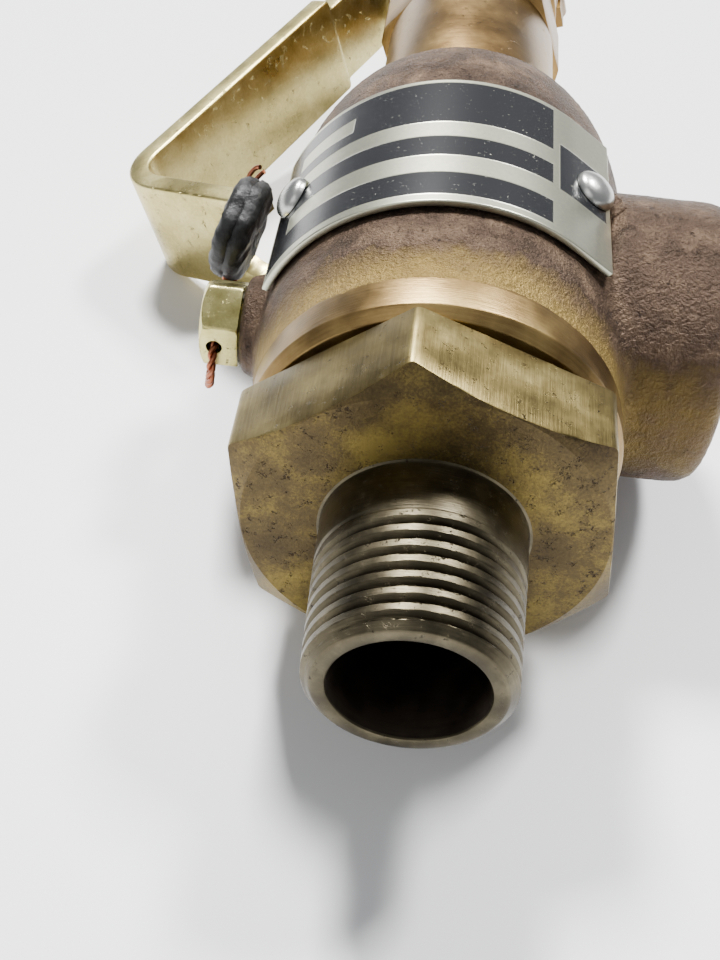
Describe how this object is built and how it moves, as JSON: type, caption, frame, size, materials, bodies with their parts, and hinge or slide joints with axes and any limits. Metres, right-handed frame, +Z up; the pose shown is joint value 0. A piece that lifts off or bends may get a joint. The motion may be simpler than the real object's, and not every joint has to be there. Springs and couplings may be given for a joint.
{
  "type": "pressure relief valve",
  "caption": "Side-outlet pressure relief valve with threaded inlet, cast body, turned bonnet, wire-sealed ring pin and a bent lifting lever.",
  "frame": {"origin": "Centre of the inlet's end face, on the valve axis.", "axes": "+Y along the valve axis from the inlet to the cap, +X along the outlet's axis, +Z up from the surface the valve lies on."},
  "size_m": [0.0788, 0.16, 0.0446],
  "materials": {
    "brass_turned": "turned and brushed, slightly tarnished",
    "cast_body": "rough sand-cast bronze, brown-grey",
    "brass_inner": "turned",
    "brass_bright": "turned, bright yellow",
    "soft_seat": "smooth pressed fluoropolymer",
    "steel_plain": "turned steel",
    "spring_steel": "drawn wire, oiled",
    "brass_satin": "satin turned",
    "zinc_yellow_steel": "steel with a yellow zinc passivate",
    "plate_metal": "etched plate with dark enamel panels",
    "rivet_zinc": "bright zinc",
    "lead": "dull crushed lead",
    "copper_wire": "drawn copper wire, twisted"
  },
  "bodies": {
    "valve": {"inlet_base": "brass_turned", "valve_body": "cast_body", "blowdown_ring": "brass_inner", "ring_pin": "brass_bright", "disc_guide": "brass_inner", "spring": "spring_steel", "upper_spring_washer": "steel_plain", "bonnet": "brass_satin", "compression_screw": "brass_inner", "lock_nut": "brass_inner", "cap": "brass_satin", "cap_set_screw": "spring_steel", "lever_pin": "steel_plain", "pin_clip": "spring_steel", "nameplate": "plate_metal", "rivets": "rivet_zinc", "lead_seal": "lead", "seal_wire": "copper_wire"},
    "lever": {"lever": "zinc_yellow_steel"},
    "stem": {"stem": "steel_plain", "disc_holder": "brass_inner", "disc_insert": "soft_seat", "lower_spring_washer": "steel_plain", "lift_nut": "steel_plain", "lift_jam_nut": "steel_plain"}
  },
  "joints": [
    {"name": "lever_pull", "type": "hinge", "parent": "valve", "child": "lever", "pos_m": [0.00903, 0.1496, 0.00294], "axis": [-0.309, 0, 0.9511], "range_deg": [-10.5, 0], "stiffness_Nm_per_rad": 0.6},
    {"name": "stem_lift", "type": "slide", "parent": "valve", "child": "stem", "axis": [0, 1, 0], "range_m": [0, 0.0022], "deforming": ["spring"]}
  ],
  "couplings": [
    {"joint": "stem_lift", "follows": "lever_pull", "m_per_rad": -0.012}
  ]
}
